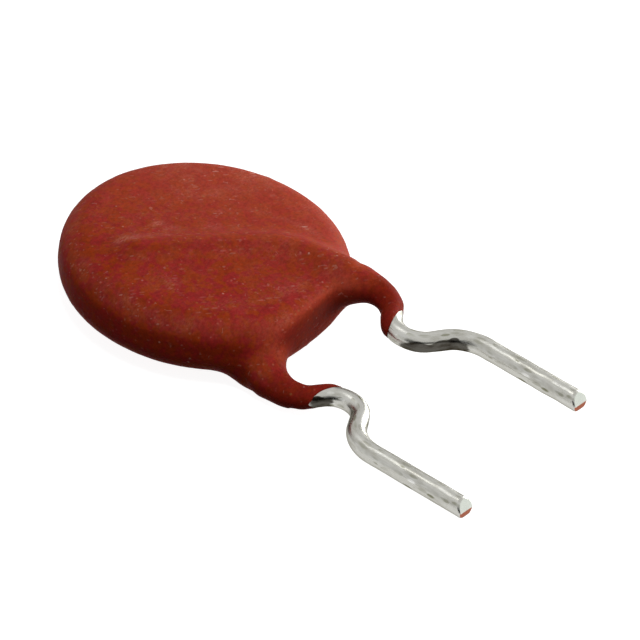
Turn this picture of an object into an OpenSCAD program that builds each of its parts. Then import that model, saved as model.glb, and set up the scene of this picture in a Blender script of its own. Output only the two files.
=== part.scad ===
// Dipped radial disc thermistor with two kinked leads, lying flat on one face.
// X runs across the leads, the leads point along -Y and +Z is the normal of the disc.
// The origin is under the middle of the whole part, at the level that it rests on.

/* [Ceramic disc] */
// Diameter of the ceramic disc
ceramic_d = 7.56; // [6:0.02:11]
// Thickness of the ceramic disc
ceramic_t = 1.04; // [0.6:0.01:2]
// Chamfer around both edges of the ceramic disc
ceramic_chamfer = 0.12; // [0.05:0.01:0.2]
// Thickness of the metal layer fired on each face
electrode_t = 0.04; // [0.02:0.01:0.1]
// Bare ceramic left around each metal layer
electrode_margin = 0.35; // [0.2:0.05:0.8]

/* [Leads] */
// Diameter of the lead wire
wire_d = 0.6; // [0.5:0.05:0.8]
// Distance between the two leads at their tips
pitch = 5; // [4:0.1:7.5]
// Reach of the leads beyond the rim of the body
lead_reach = 7.46; // [6:0.01:12]
// Distance of each free lead from the plane midway between them
lead_level = 0.57; // [0.4:0.01:0.8]
// How far that plane lies under the middle plane of the disc
lead_sink = 0.14; // [0:0.01:0.2]
// Distance from the centre line to the corner where a wire on a face turns to the rim
face_corner_x = 1.45; // [1:0.05:1.8]
// Distance from the disc's middle to that corner, towards the tips
face_corner_y = 1.75; // [1.4:0.05:2.2]
// Run of the wire on the face beyond that corner
face_run = 4.45; // [3:0.05:5]
// Angle of that run to the X axis
face_angle = 38; // [20:1:60]
// Distance inside the rim where a wire starts to step down from the face
step_inset = 0.55; // [0.4:0.05:0.7]
// Distance from the centre line to the upper wire's step
upper_step_x = 1.8; // [1.6:0.01:2.4]
// Distance from the centre line to the lower wire's step
lower_step_x = 2; // [1.6:0.01:2.4]
// Distance from the rim to the corner where the upper neck turns inward
upper_neck_reach = 0.76; // [0.5:0.01:0.9]
// Distance from the rim to the corner where the lower neck turns inward
lower_neck_reach = 1.05; // [0.5:0.01:1.2]
// Distance from the centre line to the upper neck's corner
upper_neck_x = 2.32; // [2:0.01:2.8]
// Distance from the centre line to the lower neck's corner
lower_neck_x = 2.1; // [2:0.01:2.8]
// Distance from the rim to the inner corner of the kink
kink_reach = 2.19; // [2:0.01:2.6]
// Distance from the rim to the corner where the lead straightens
elbow_reach = 3.36; // [3.2:0.01:4]
// Distance from the centre line to the inner corner of the upper lead's kink
upper_kink_x = 0.56; // [0.3:0.01:0.8]
// Distance from the centre line to the inner corner of the lower lead's kink
lower_kink_x = 0.32; // [0.3:0.01:0.8]
// Bend radius of the wire's middle line on the face
face_bend_r = 1.5; // [0.8:0.05:2]
// Bend radius where the wire steps down from the face
step_bend_r = 1.2; // [0.8:0.05:1.6]
// Bend radius where the neck turns inward
neck_bend_r = 0.75; // [0.6:0.05:1.2]
// Bend radius at the inner corner of the kink
kink_bend_r = 0.8; // [0.6:0.05:1]
// Bend radius where the lead straightens
elbow_bend_r = 1.22; // [0.8:0.02:1.4]
// Slope of the chisel cut at a lead's tip
tip_angle = 45; // [35:1:60]
// Height of the flat strip left at the end of a tip
tip_strip = 0.12; // [0.05:0.01:0.2]

/* [Solder] */
// Solder left between a wire and the metal layer
solder_film = 0.03; // [0.02:0.01:0.06]
// Height of the solder fillet beside a wire
solder_h = 0.4; // [0.3:0.02:0.5]
// Length of the solder along the wire on the face
solder_len = 3.9; // [2.5:0.1:4.2]

/* [Coating] */
// Thickness of the coating over the ceramic
coat_t = 0.42; // [0.35:0.01:0.7]
// How much the coating's faces swell towards their middles
face_dome = 0.08; // [0:0.01:0.15]
// Radius of the coating's shoulder
shoulder_r = 0.79; // [0.4:0.01:0.9]
// How far the rim is flattened between the leads
flat_inset = 0.3; // [0:0.01:0.3]
// Angle of that flat to the X axis
flat_angle = 5; // [0:1:8]
// Width of the soft edge around that flat
flat_blend = 0.3; // [0.1:0.05:0.5]
// Coating over the wires where they lie on the faces
ridge_coat = 0.05; // [0.04:0.01:0.2]
// Coating around a wire at the root of its neck
root_coat = 0.19; // [0.12:0.01:0.35]
// Distance of that root inside the rim
root_inset = 0.1; // [0:0.05:0.4]
// How far the coating's middle sags from the wire's towards the disc's at that root
root_sag = 0.07; // [0:0.01:0.1]
// Coating around a wire where the neck starts to bend
bend_coat = 0.13; // [0.06:0.01:0.2]
// Coating around a wire at the end of the neck
neck_coat = 0.04; // [0.04:0.01:0.12]
// Distance from the rim to the dip line that ends the coating
dip_reach = 1.58; // [1.4:0.01:1.7]
// Slant of the dip line across a neck
dip_slant = 15; // [0:1:25]
// Width of the blend along a ridge
ridge_blend = 0.65; // [0.3:0.05:0.9]
// Width of the blend at the root of a neck
root_blend = 1.05; // [0.5:0.05:1.6]

/* [Hidden] */
$fn = 64;
// How far a wire's straights are let into its bends
let_in = 0.05;
// How much thicker than the straights the bends are
swell = 0.003;
// Gap between the hollow side of the solder and the round that shapes it
solder_gap = 0.02;
// Chords in each bend of a sleeve
bend_steps = 2;
// Steps of the grid that the skin is sampled on, near the necks and elsewhere
fine = 0.2;
coarse = 0.27;
// Step for reading the field's slope
nudge = 0.01;

wire_r = wire_d / 2;
body_r = ceramic_d / 2 + coat_t;
body_h = ceramic_t / 2 + coat_t;
face_h = ceramic_t / 2 + electrode_t;
wire_level = face_h + solder_film + wire_r;
tip_y = -(body_r + lead_reach);

// Middle line of a lead from its end on the face to its tip. The lower lead's is given as it
// lies before it is turned half round.
function lead_line(step_x, neck_x, neck_reach, kink_x, level) =
    let (
        face_corner = [face_corner_x, -face_corner_y, wire_level],
        along_face = [cos(face_angle), -sin(face_angle), 0]
    ) [
        face_corner - face_run * along_face,
        face_corner,
        [step_x, step_inset - body_r, wire_level],
        [neck_x, -(body_r + neck_reach), level],
        [kink_x, -(body_r + kink_reach), level],
        [pitch / 2, -(body_r + elbow_reach), level],
        [pitch / 2, tip_y, level]
    ];
upper_level = lead_level - lead_sink;
lower_level = lead_level + lead_sink;
upper_line = lead_line(upper_step_x, upper_neck_x, upper_neck_reach, upper_kink_x, upper_level);
lower_line = lead_line(lower_step_x, lower_neck_x, lower_neck_reach, lower_kink_x, lower_level);
bend_radii = [0, face_bend_r, step_bend_r, neck_bend_r, kink_bend_r, elbow_bend_r, 0];

// Height of the ridge's crest, which is what the part lies on
ridge_r = wire_r + ridge_coat;
ridge_rise = wire_level + ridge_r - body_h - face_dome;
crest_h = wire_level + ridge_r + pow(max(ridge_blend - ridge_rise, 0), 2) / (4 * ridge_blend);
origin_shift = [0, -(body_r + tip_y) / 2, crest_h];

function unit(v) = v / norm(v);
function mix(a, b, t) = a + (b - a) * t;
function clamp(x, lo, hi) = max(lo, min(hi, x));
function ramp(x, x0, x1) = clamp((x - x0) / (x1 - x0), 0, 1);

// A bend of a wire: the way it leads, how far it turns, where it starts and what it turns about
function heading(pts, i) = unit(pts[i + 1] - pts[i]);
function turn(pts, i) = acos(clamp(heading(pts, i - 1) * heading(pts, i), -1, 1));
function setback(pts, i) = bend_radii[i] * tan(i == 0 || i == len(pts) - 1 ? 0 : turn(pts, i) / 2);
function bend_side(pts, i) =
    let (a = heading(pts, i - 1), b = heading(pts, i)) unit(b - (a * b) * a);
function bend_centre(pts, i) =
    pts[i] - setback(pts, i) * heading(pts, i - 1) + bend_radii[i] * bend_side(pts, i);

// Places an object by its three axes and its origin
module placed(x, y, z, o) {
    multmatrix([
        [x[0], y[0], z[0], o[0]],
        [x[1], y[1], z[1], o[1]],
        [x[2], y[2], z[2], o[2]],
        [0, 0, 0, 1]
    ]) children();
}

// A wire along a line of points. Its straights are let a little way into its bends, which are
// a hair thicker, so that no two round faces meet edge to edge.
module bent_wire(pts) {
    last = len(pts) - 1;
    for (i = [0 : last - 1]) {
        z = heading(pts, i);
        side = bend_side(pts, i > 0 ? i : 1);
        x = unit(side - (side * z) * z);
        from = i > 0 ? setback(pts, i) - let_in : 0;
        to = norm(pts[i + 1] - pts[i]) - (i < last - 1 ? setback(pts, i + 1) - let_in : 0);
        placed(x, cross(z, x), z, pts[i] + from * z) cylinder(h = to - from, r = wire_r);
    }
    for (i = [1 : last - 1]) {
        y = heading(pts, i - 1);
        x = -bend_side(pts, i);
        placed(x, y, cross(x, y), bend_centre(pts, i)) rotate_extrude(angle = turn(pts, i))
            translate([bend_radii[i], 0]) circle(r = wire_r + swell);
    }
}

// The lower pieces are turned half round about the Y axis
module lower() {
    rotate([0, 180, 0]) children();
}

module upper_lead() {
    difference() {
        bent_wire(upper_line);
        tip_cut([pitch / 2, tip_y, upper_level - wire_r / 3]);
    }
}

module lower_lead() {
    difference() {
        lower() bent_wire(lower_line);
        tip_cut([-pitch / 2, tip_y, -lower_level - wire_r / 3]);
    }
}

// The cutter's bevel from above, down to a narrow strip, and the small bevel under the strip
module tip_cut(strip_top) {
    span = 2 * wire_d;
    translate(strip_top)
        rotate([tip_angle, 0, 0])
            translate([-span / 2, -span, 0]) cube([span, 2 * span, span]);
    translate(strip_top - [0, 0, tip_strip])
        rotate([-tip_angle, 0, 0])
            translate([-span / 2, -span, -span]) cube([span, 2 * span, span]);
}

module disc() {
    h = ceramic_t / 2;
    c = ceramic_chamfer;
    rotate_extrude() polygon([
        [0, -h], [ceramic_d / 2 - c, -h], [ceramic_d / 2, c - h],
        [ceramic_d / 2, h - c], [ceramic_d / 2 - c, h], [0, h]
    ]);
}

module electrode() {
    translate([0, 0, ceramic_t / 2]) cylinder(h = electrode_t, r = ceramic_d / 2 - electrode_margin);
}

// Solder along the wire: a strip with hollow sides and round ends, and the wire's own bed
module solder() {
    half = wire_r + solder_h;
    z = heading(upper_line, 0);
    y = [0, 0, 1];
    x = cross(y, z);
    start = upper_line[0] - [0, 0, wire_level - face_h] - half / 2 * z;
    difference() {
        intersection() {
            placed(x, y, z, start) linear_extrude(height = solder_len) difference() {
                translate([-half, 0]) square([2 * half, solder_h]);
                for (s = [-1, 1]) translate([s * half, solder_h]) circle(r = solder_h - solder_gap);
            }
            placed(z, x, y, start) linear_extrude(height = solder_h) {
                translate([half, 0]) circle(r = half);
                translate([half, -half]) square([solder_len - 2 * half, 2 * half]);
                translate([solder_len - half, 0]) circle(r = half);
            }
        }
        bent_wire(upper_line);
    }
}

// A bend's middle line as short chords, over all of its angle or a share of it
function bend_points(pts, i, share = 1) =
    let (
        c = bend_centre(pts, i),
        x = -bend_side(pts, i),
        y = heading(pts, i - 1)
    )
    [for (k = [0 : bend_steps]) let (a = share * turn(pts, i) * k / bend_steps)
        c + bend_radii[i] * (cos(a) * x + sin(a) * y)];

// The sleeve that the coating forms on a wire: points of its middle line, each with its radius
function sleeve_line(pts) =
    let (
        root_y = root_inset - body_r,
        on_wire = mix(pts[2], pts[3], (root_y - pts[2][1]) / (pts[3][1] - pts[2][1])),
        neck = bend_points(pts, 3),
        kink = bend_points(pts, 4, 0.5)
    )
    concat(
        [[pts[0], ridge_r]],
        [for (i = [1, 2]) for (p = bend_points(pts, i)) [p, ridge_r]],
        [[on_wire - [0, 0, root_sag], wire_r + root_coat]],
        [for (i = [0 : bend_steps]) [neck[i], wire_r + mix(bend_coat, neck_coat, i / bend_steps)]],
        [for (p = kink) [p, wire_r + neck_coat]]
    );

// Each length of a sleeve: its start, its run, its start radius and the change of radius
function lengths(line) = [for (i = [0 : len(line) - 2])
    [line[i][0], line[i + 1][0] - line[i][0], line[i][1], line[i + 1][1] - line[i][1]]];
upper_sleeve = lengths(sleeve_line(upper_line));
lower_sleeve = lengths(sleeve_line(lower_line));

// Signed distance to the plain disc, to the nearest length of a sleeve and to the whole skin
function disc_field(p) =
    let (
        r = norm([p[0], p[1]]),
        q = r - (body_r - shoulder_r),
        swelling = face_dome * max(0, 1 - pow(r / body_r, 2)),
        w = abs(p[2]) - (body_h - shoulder_r + swelling)
    )
    smooth_max(
        norm([max(q, 0), max(w, 0)]) + min(max(q, w), 0) - shoulder_r,
        flat_inset - body_r - p[1] * cos(flat_angle) + p[0] * sin(flat_angle),
        flat_blend
    );
function sleeve_field(p, sleeve) = min([for (s = sleeve)
    let (w = p - s[0], t = max(0, min(1, w * s[1] / (s[1] * s[1]))))
    norm(w - t * s[1]) - s[2] - t * s[3]]);
function smooth_min(a, b, k) = min(a, b) - pow(max(k - abs(a - b), 0), 2) / (4 * k);
function smooth_max(a, b, k) = -smooth_min(-a, -b, k);
function skin_field(p) =
    let (
        d = disc_field(p),
        k = mix(ridge_blend, root_blend, ramp(norm([p[0], p[1]]), 0.85 * body_r, body_r))
    )
    d < -k ? d : smooth_min(
        smooth_min(d, sleeve_field(p, upper_sleeve), k),
        sleeve_field([-p[0], p[1], -p[2]], lower_sleeve),
        k
    );

// Grid that the skin is sampled on, finer where the necks are
function lines(lo, hi, step) =
    let (n = ceil((hi - lo) / step)) [for (i = [0 : n]) mix(lo, hi, i / n)];
function tail(v) = [for (i = [1 : len(v) - 1]) v[i]];
grid_x = lines(-body_r - fine, body_r + fine, coarse);
grid_y = concat(
    lines(-(body_r + kink_reach + wire_d), -0.8 * body_r, fine),
    tail(lines(-0.8 * body_r, body_r + fine, coarse))
);
grid_z = lines(-crest_h - fine / 2, crest_h + fine / 2, fine);
nx = len(grid_x);
ny = len(grid_y);
nz = len(grid_z);

function grid_values() =
    [for (z = grid_z) [for (y = grid_y) [for (x = grid_x) skin_field([x, y, z])]]];

// Takes out each inner grid point that meets another one only across a corner, since the skin
// would touch itself there
function cleared(v) = [for (k = [0 : nz - 1]) [for (j = [0 : ny - 1]) [for (i = [0 : nx - 1])
    v[k][j][i] < 0 && meets_across(v, i, j, k) ? nudge : v[k][j][i]]]];
function meets_across(v, i, j, k) = len([for (s = [-1, 1]) for (t = [-1, 1])
    let (x = v[k][j][i + s] >= 0, y = v[k][j + t][i] >= 0)
    if ((x && y && v[k][j + t][i + s] < 0)
        || (x && v[k + t][j][i] >= 0 && v[k + t][j][i + s] < 0)
        || (y && v[k + s][j][i] >= 0 && v[k + s][j + t][i] < 0)) 1]) > 0;

// The part's outer skin: one point in each cell that the surface passes, and one face
// across each grid edge that it cuts
module skin() {
    v = cleared(cleared(grid_values()));
    cells = [for (k = [0 : nz - 2]) for (j = [0 : ny - 2]) for (i = [0 : nx - 2])
        let (
            low = min(min(v[k][j][i], v[k][j][i + 1]), min(v[k][j + 1][i], v[k][j + 1][i + 1]),
                min(v[k + 1][j][i], v[k + 1][j][i + 1]),
                min(v[k + 1][j + 1][i], v[k + 1][j + 1][i + 1])),
            high = max(max(v[k][j][i], v[k][j][i + 1]), max(v[k][j + 1][i], v[k][j + 1][i + 1]),
                max(v[k + 1][j][i], v[k + 1][j][i + 1]),
                max(v[k + 1][j + 1][i], v[k + 1][j + 1][i + 1]))
        )
        low < 0 && high >= 0];
    index = [for (c = 0, n = 0; c < len(cells); n = n + (cells[c] ? 1 : 0), c = c + 1) n];
    points = [for (k = [0 : nz - 2]) for (j = [0 : ny - 2]) for (i = [0 : nx - 2])
        if (cells[cell(i, j, k)]) settle(cell_point(v, i, j, k), 2)];
    quads = concat(
        [for (k = [1 : nz - 2]) for (j = [1 : ny - 2]) for (i = [0 : nx - 2])
            if ((v[k][j][i] < 0) != (v[k][j][i + 1] < 0))
                let (f = [cell(i, j, k), cell(i, j - 1, k), cell(i, j - 1, k - 1), cell(i, j, k - 1)])
                face(index, f, v[k][j][i] < 0)],
        [for (k = [1 : nz - 2]) for (j = [0 : ny - 2]) for (i = [1 : nx - 2])
            if ((v[k][j][i] < 0) != (v[k][j + 1][i] < 0))
                let (f = [cell(i, j, k), cell(i, j, k - 1), cell(i - 1, j, k - 1), cell(i - 1, j, k)])
                face(index, f, v[k][j][i] < 0)],
        [for (k = [0 : nz - 2]) for (j = [1 : ny - 2]) for (i = [1 : nx - 2])
            if ((v[k][j][i] < 0) != (v[k + 1][j][i] < 0))
                let (f = [cell(i, j, k), cell(i - 1, j, k), cell(i - 1, j - 1, k), cell(i, j - 1, k)])
                face(index, f, v[k][j][i] < 0)]
    );
    polyhedron(points, [for (q = quads) each halves(points, q)]);
}

function cell(i, j, k) = (k * (ny - 1) + j) * (nx - 1) + i;
function face(index, f, outward) =
    outward ? [for (n = [3 : -1 : 0]) index[f[n]]] : [for (c = f) index[c]];

// A face of four points as two triangles, split on the diagonal that lies nearer the surface
function halves(points, q) =
    let (
        off = abs(skin_field((points[q[0]] + points[q[2]]) / 2)),
        across = abs(skin_field((points[q[1]] + points[q[3]]) / 2))
    )
    off < across ? [[q[0], q[1], q[2]], [q[0], q[2], q[3]]] : [[q[1], q[2], q[3]], [q[1], q[3], q[0]]];

// Mean of the places where the surface cuts a cell's edges
function cut(v, a, b) =
    let (
        fa = v[a[2]][a[1]][a[0]],
        fb = v[b[2]][b[1]][b[0]]
    )
    (fa < 0) == (fb < 0) ? [] : [mix(grid_point(a), grid_point(b), fa / (fa - fb))];
function grid_point(a) = [grid_x[a[0]], grid_y[a[1]], grid_z[a[2]]];
function cell_point(v, i, j, k) =
    let (
        cuts = [for (s = [0, 1]) for (t = [0, 1]) each concat(
            cut(v, [i, j + s, k + t], [i + 1, j + s, k + t]),
            cut(v, [i + s, j, k + t], [i + s, j + 1, k + t]),
            cut(v, [i + s, j + t, k], [i + s, j + t, k + 1])
        )]
    )
    [for (c = cuts) 1] * cuts / len(cuts);

// Moves a point onto the surface along the field's slope
function slope(p, f) = [
    skin_field(p + [nudge, 0, 0]) - f,
    skin_field(p + [0, nudge, 0]) - f,
    skin_field(p + [0, 0, nudge]) - f
] / nudge;
function settle(p, times) =
    times == 0 ? p
    : let (f = skin_field(p), g = slope(p, f)) settle(p - f * g / max(g * g, 0.25), times - 1);

module inner_pieces() {
    disc();
    electrode();
    lower() electrode();
    solder();
    lower() solder();
    bent_wire(upper_line);
    lower() bent_wire(lower_line);
}

// Everything beyond the dip line across a neck
module beyond_dip(pts) {
    span = 2 * body_r;
    dip_y = -(body_r + dip_reach);
    dip_x = mix(pts[3][0], pts[4][0], (dip_y - pts[3][1]) / (pts[4][1] - pts[3][1]));
    translate([dip_x, dip_y, 0]) rotate([0, 0, dip_slant])
        translate([-span / 2, -span, -span / 2]) cube([span, span, span]);
}

module coating() {
    difference() {
        skin();
        beyond_dip(upper_line);
        lower() beyond_dip(lower_line);
        inner_pieces();
    }
}

module at_rest() {
    translate(origin_shift) children();
}

color("#8a3024") at_rest() coating();
color("#4a4a4c") at_rest() disc();  // ceramic_disc
color("#c8c8c0") at_rest() electrode();  // upper_electrode
color("#c8c8c0") at_rest() lower() electrode();  // lower_electrode
color("#a9a9a6") at_rest() solder();  // upper_solder
color("#a9a9a6") at_rest() lower() solder();  // lower_solder
color("#c1c0b9") at_rest() upper_lead();
color("#c1c0b9") at_rest() lower_lead();
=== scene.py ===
# Dipped disc thermistor: a brick red coating over a ceramic disc, with two kinked tinned leads.
import math

import bmesh
import bpy
import numpy as np
from mathutils import Matrix, Vector, noise


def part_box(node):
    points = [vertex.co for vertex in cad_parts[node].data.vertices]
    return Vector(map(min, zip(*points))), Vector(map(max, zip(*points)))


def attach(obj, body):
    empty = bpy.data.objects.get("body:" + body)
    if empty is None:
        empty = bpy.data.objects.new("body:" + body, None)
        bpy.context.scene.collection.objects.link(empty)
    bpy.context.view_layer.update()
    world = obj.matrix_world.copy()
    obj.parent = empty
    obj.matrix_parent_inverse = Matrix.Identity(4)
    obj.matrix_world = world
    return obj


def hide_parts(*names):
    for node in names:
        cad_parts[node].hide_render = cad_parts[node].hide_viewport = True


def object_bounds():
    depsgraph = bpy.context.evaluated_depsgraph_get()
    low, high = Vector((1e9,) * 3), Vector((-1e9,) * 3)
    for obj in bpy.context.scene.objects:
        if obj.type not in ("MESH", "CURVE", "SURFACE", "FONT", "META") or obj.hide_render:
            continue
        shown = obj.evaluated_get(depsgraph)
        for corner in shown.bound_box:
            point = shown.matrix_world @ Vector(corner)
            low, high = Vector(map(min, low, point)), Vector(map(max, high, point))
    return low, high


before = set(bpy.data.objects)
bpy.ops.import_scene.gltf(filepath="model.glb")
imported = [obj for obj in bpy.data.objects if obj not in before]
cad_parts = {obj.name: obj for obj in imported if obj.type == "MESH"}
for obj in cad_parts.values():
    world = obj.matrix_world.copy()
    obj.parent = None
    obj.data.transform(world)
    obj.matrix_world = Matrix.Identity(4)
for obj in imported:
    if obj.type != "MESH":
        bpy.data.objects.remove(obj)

cadLow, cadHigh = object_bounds()
mm = 0.001
scene = bpy.context.scene
scene.view_settings.view_transform = "Standard"

discLow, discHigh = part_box("ceramic_disc")
discCentre = (discLow + discHigh) / 2
discMiddle = np.array(discCentre)


def unit(vector):
    return vector / np.linalg.norm(vector)


def smoothStep(value, low, high):
    t = np.clip((value - low) / (high - low), 0, 1)
    return t * t * (3 - 2 * t)


def linearColour(red, green, blue):
    # from the 0 to 255 values that a picture shows to the linear ones that a shader takes
    parts = [channel / 255 for channel in (red, green, blue)]
    return [c / 12.92 if c <= 0.04045 else ((c + 0.055) / 1.055) ** 2.4 for c in parts] + [1]


def newMeshObject(name, vertices, faces):
    mesh = bpy.data.meshes.new(name)
    mesh.from_pydata([tuple(v) for v in vertices], [], faces)
    mesh.update()
    obj = bpy.data.objects.new(name, mesh)
    scene.collection.objects.link(obj)
    return obj


def shadeSmooth(mesh):
    mesh.polygons.foreach_set("use_smooth", [True] * len(mesh.polygons))


def vertexPlaces(mesh):
    flat = np.empty(len(mesh.vertices) * 3)
    mesh.vertices.foreach_get("co", flat)
    return flat.reshape(-1, 3)


def vertexNormals(mesh):
    flat = np.empty(len(mesh.vertices) * 3)
    mesh.vertex_normals.foreach_get("vector", flat)
    return flat.reshape(-1, 3)


def setPlaces(mesh, places):
    mesh.vertices.foreach_set("co", places.ravel())
    mesh.update()


def faceOutwards(mesh):
    work = bmesh.new()
    work.from_mesh(mesh)
    bmesh.ops.recalc_face_normals(work, faces=work.faces)
    work.to_mesh(mesh)
    work.free()


def keepMask(mesh, name, values):
    made = mesh.attributes.new(name, "FLOAT", "POINT")
    made.data.foreach_set("value", np.asarray(values, dtype=np.float32))


def addSmoothing(obj, turns):
    smooth = obj.modifiers.new("smooth", "SMOOTH")
    smooth.factor = 0.5
    smooth.iterations = turns
    return smooth


def modifiedMesh(obj):
    # the mesh that the modifiers give; the object itself is left without them
    made = bpy.data.meshes.new_from_object(obj.evaluated_get(bpy.context.evaluated_depsgraph_get()))
    obj.modifiers.clear()
    return made


def noiseAt(places, size, shift=0.0):
    # smooth noise of about -1 to 1, with bumps of the given size
    return np.array([noise.noise(Vector(p)) for p in places / size + shift])


class shaderSheet:
    # keeps the wiring of shader nodes short
    def __init__(self, tree):
        self.tree = tree
        tree.nodes.clear()

    def add(self, kind, inputs=None, **settings):
        node = self.tree.nodes.new(kind)
        for key, value in settings.items():
            setattr(node, key, value)
        for key, value in (inputs or {}).items():
            self.feed(node.inputs[key], value)
        return node

    def feed(self, socket, value):
        if isinstance(value, bpy.types.NodeSocket):
            self.tree.links.new(value, socket)
        elif isinstance(value, bpy.types.Node):
            self.tree.links.new(value.outputs[0], socket)
        else:
            socket.default_value = value

    def math(self, operation, a, b=0.0):
        node = self.add("ShaderNodeMath", operation=operation)
        self.feed(node.inputs[0], a)
        self.feed(node.inputs[1], b)
        return node.outputs[0]

    def times(self, a, b):
        return self.math("MULTIPLY", a, b)

    def plus(self, a, b):
        return self.math("ADD", a, b)

    def remap(self, value, low, high, toLow=0.0, toHigh=1.0):
        return self.add("ShaderNodeMapRange", {
            "Value": value, "From Min": low, "From Max": high, "To Min": toLow, "To Max": toHigh,
        }, interpolation_type="SMOOTHSTEP").outputs[0]

    def mix(self, factor, a, b, blend="MIX"):
        node = self.add("ShaderNodeMix", data_type="RGBA", blend_type=blend)
        self.feed(node.inputs[0], factor)
        self.feed(node.inputs[6], a)
        self.feed(node.inputs[7], b)
        return node.outputs[2]

    def grey(self, value):
        return self.add("ShaderNodeCombineColor", {0: value, 1: value, 2: value}).outputs[0]

    def noise(self, place, scale, detail=2.0, roughness=0.5):
        return self.add("ShaderNodeTexNoise", {
            "Vector": place, "Scale": scale, "Detail": detail, "Roughness": roughness,
        }).outputs[0]

    def mask(self, name):
        return self.add("ShaderNodeAttribute", attribute_name=name).outputs["Fac"]

    def moved(self, place, x, y, z, stretch=(1, 1, 1), turn=0.0):
        return self.add("ShaderNodeMapping", {
            "Vector": place, "Location": (x, y, z), "Rotation": (0, 0, math.radians(turn)),
            "Scale": stretch,
        }).outputs[0]


def newGroup(name, inputs, outputs):
    # inputs: name and first value; outputs: name
    group = bpy.data.node_groups.new(name, "ShaderNodeTree")
    for label, value in inputs:
        kind = "NodeSocketVector" if value is None else "NodeSocketFloat"
        socket = group.interface.new_socket(label, in_out="INPUT", socket_type=kind)
        if value is not None:
            socket.default_value = value
    for label in outputs:
        group.interface.new_socket(label, in_out="OUTPUT", socket_type="NodeSocketFloat")
    nodes = shaderSheet(group)
    return nodes, nodes.add("NodeGroupInput").outputs, nodes.add("NodeGroupOutput").inputs


def placeGroup(nodes, group, values):
    node = nodes.add("ShaderNodeGroup", node_tree=group)
    for label, value in values.items():
        nodes.feed(node.inputs[label], value)
    return node.outputs


def newMaterial(name):
    material = bpy.data.materials.new(name)
    material.use_nodes = True
    nodes = shaderSheet(material.node_tree)
    output = nodes.add("ShaderNodeOutputMaterial")
    shader = nodes.add("ShaderNodeBsdfPrincipled")
    nodes.tree.links.new(shader.outputs[0], output.inputs["Surface"])
    return material, nodes, shader


def bumpFrom(nodes, shader, height, strength, distance):
    bump = nodes.add("ShaderNodeBump", {"Strength": strength, "Distance": distance, "Height": height})
    nodes.feed(shader.inputs["Normal"], bump.outputs[0])


camera = {
    "elevation": 36.405,       # degrees above the disc's plane
    "azimuth": -56.072,        # degrees, 0 looks along +Y
    "roll": 8.479,
    "pixelsPerMm": 35.092,     # at the disc's centre, in the 640 pixel square picture
    "distance": 250 * mm,
    "centreX": 205.0,          # where the disc's centre falls in that picture
    "centreY": 265.3,
    "pictureSize": 640,
    "sensor": 36.0,
}


def buildCamera(c):
    elevation, azimuth = math.radians(c["elevation"]), math.radians(c["azimuth"])
    forward = Vector((-math.sin(azimuth) * math.cos(elevation),
                      math.cos(azimuth) * math.cos(elevation), -math.sin(elevation)))
    right = Vector((math.cos(azimuth), math.sin(azimuth), 0))
    down = forward.cross(right)
    roll = math.radians(c["roll"])
    right, down = (math.cos(roll) * right - math.sin(roll) * down,
                   math.sin(roll) * right + math.cos(roll) * down)
    half = c["pictureSize"] / 2
    perPixel = mm / c["pixelsPerMm"]
    place = (discCentre - (c["centreX"] - half) * perPixel * right
             - (c["centreY"] - half) * perPixel * down - c["distance"] * forward)
    data = bpy.data.cameras.new("camera")
    data.sensor_width = c["sensor"]
    data.lens = c["distance"] / (c["pictureSize"] * perPixel) * c["sensor"]
    data.clip_start, data.clip_end = 0.01, 10
    obj = bpy.data.objects.new("camera", data)
    scene.collection.objects.link(obj)
    axes = Matrix((right, -down, -forward)).transposed()
    obj.matrix_world = Matrix.Translation(place) @ axes.to_4x4()
    scene.camera = obj


buildCamera(camera)
print("camera set")


studio = {
    "sky": 0.43,               # strength of the white surroundings on matt surfaces
    # each light: power, size, distance from the disc and direction
    "key": (0.047, 0.050, 0.075, (1.0, -0.10, 0.17)),      # low and close beside the part, towards +X
    "fill": (1.00, 0.36, 0.30, (0.75, -0.80, 0.10)),       # softer, for the side between the leads
    "top": (0.118, 0.05, 0.15, (-0.28, -0.22, 1.0)),       # softbox overhead
    "streak": (0.013, 0.05, 0.15, (0.0, 0.45, 0.89)),      # only shows as a streak on the metal
    "under": (0.75, 0.20, 0.30, (0.75, 0.45, -0.80)),      # faint, through the floor to the underside
    "flagFrom": 177.0,         # black card that darkens the side of the camera, degrees from +X
    "flagTo": 264.0,
    "flagHeight": 0.20,
    "flagDistance": 0.30,
    "floorSize": 3.0,
    "floorTone": 0.30,         # the floor as it's seen, and its glow
    "floorGlow": 0.92,
    "floorBounce": 0.06,       # how much of its white comes back up on the part
    "flagTone": 0.01,
}


def areaLight(name, s, onMatt=True, onMetal=True, throughFloor=False):
    data = bpy.data.lights.new(name + "Light", "AREA")
    data.shape = "DISK"
    data.energy, data.size, distance, direction = s[name]
    data.use_shadow = not throughFloor
    obj = bpy.data.objects.new(name + "Light", data)
    scene.collection.objects.link(obj)
    towards = Vector(direction).normalized()
    obj.location = discCentre + distance * towards
    obj.rotation_mode = "QUATERNION"
    obj.rotation_quaternion = towards.to_track_quat("Z", "Y")
    obj.visible_camera = False
    obj.visible_diffuse = onMatt
    obj.visible_glossy = onMetal


def seenDirectly(nodes):
    # 1 for rays from the camera, from glossy surfaces and through glass
    path = nodes.add("ShaderNodeLightPath").outputs
    seen = nodes.math("MAXIMUM", path["Is Camera Ray"], path["Is Glossy Ray"])
    return nodes.math("MAXIMUM", seen, path["Is Transmission Ray"])


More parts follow.
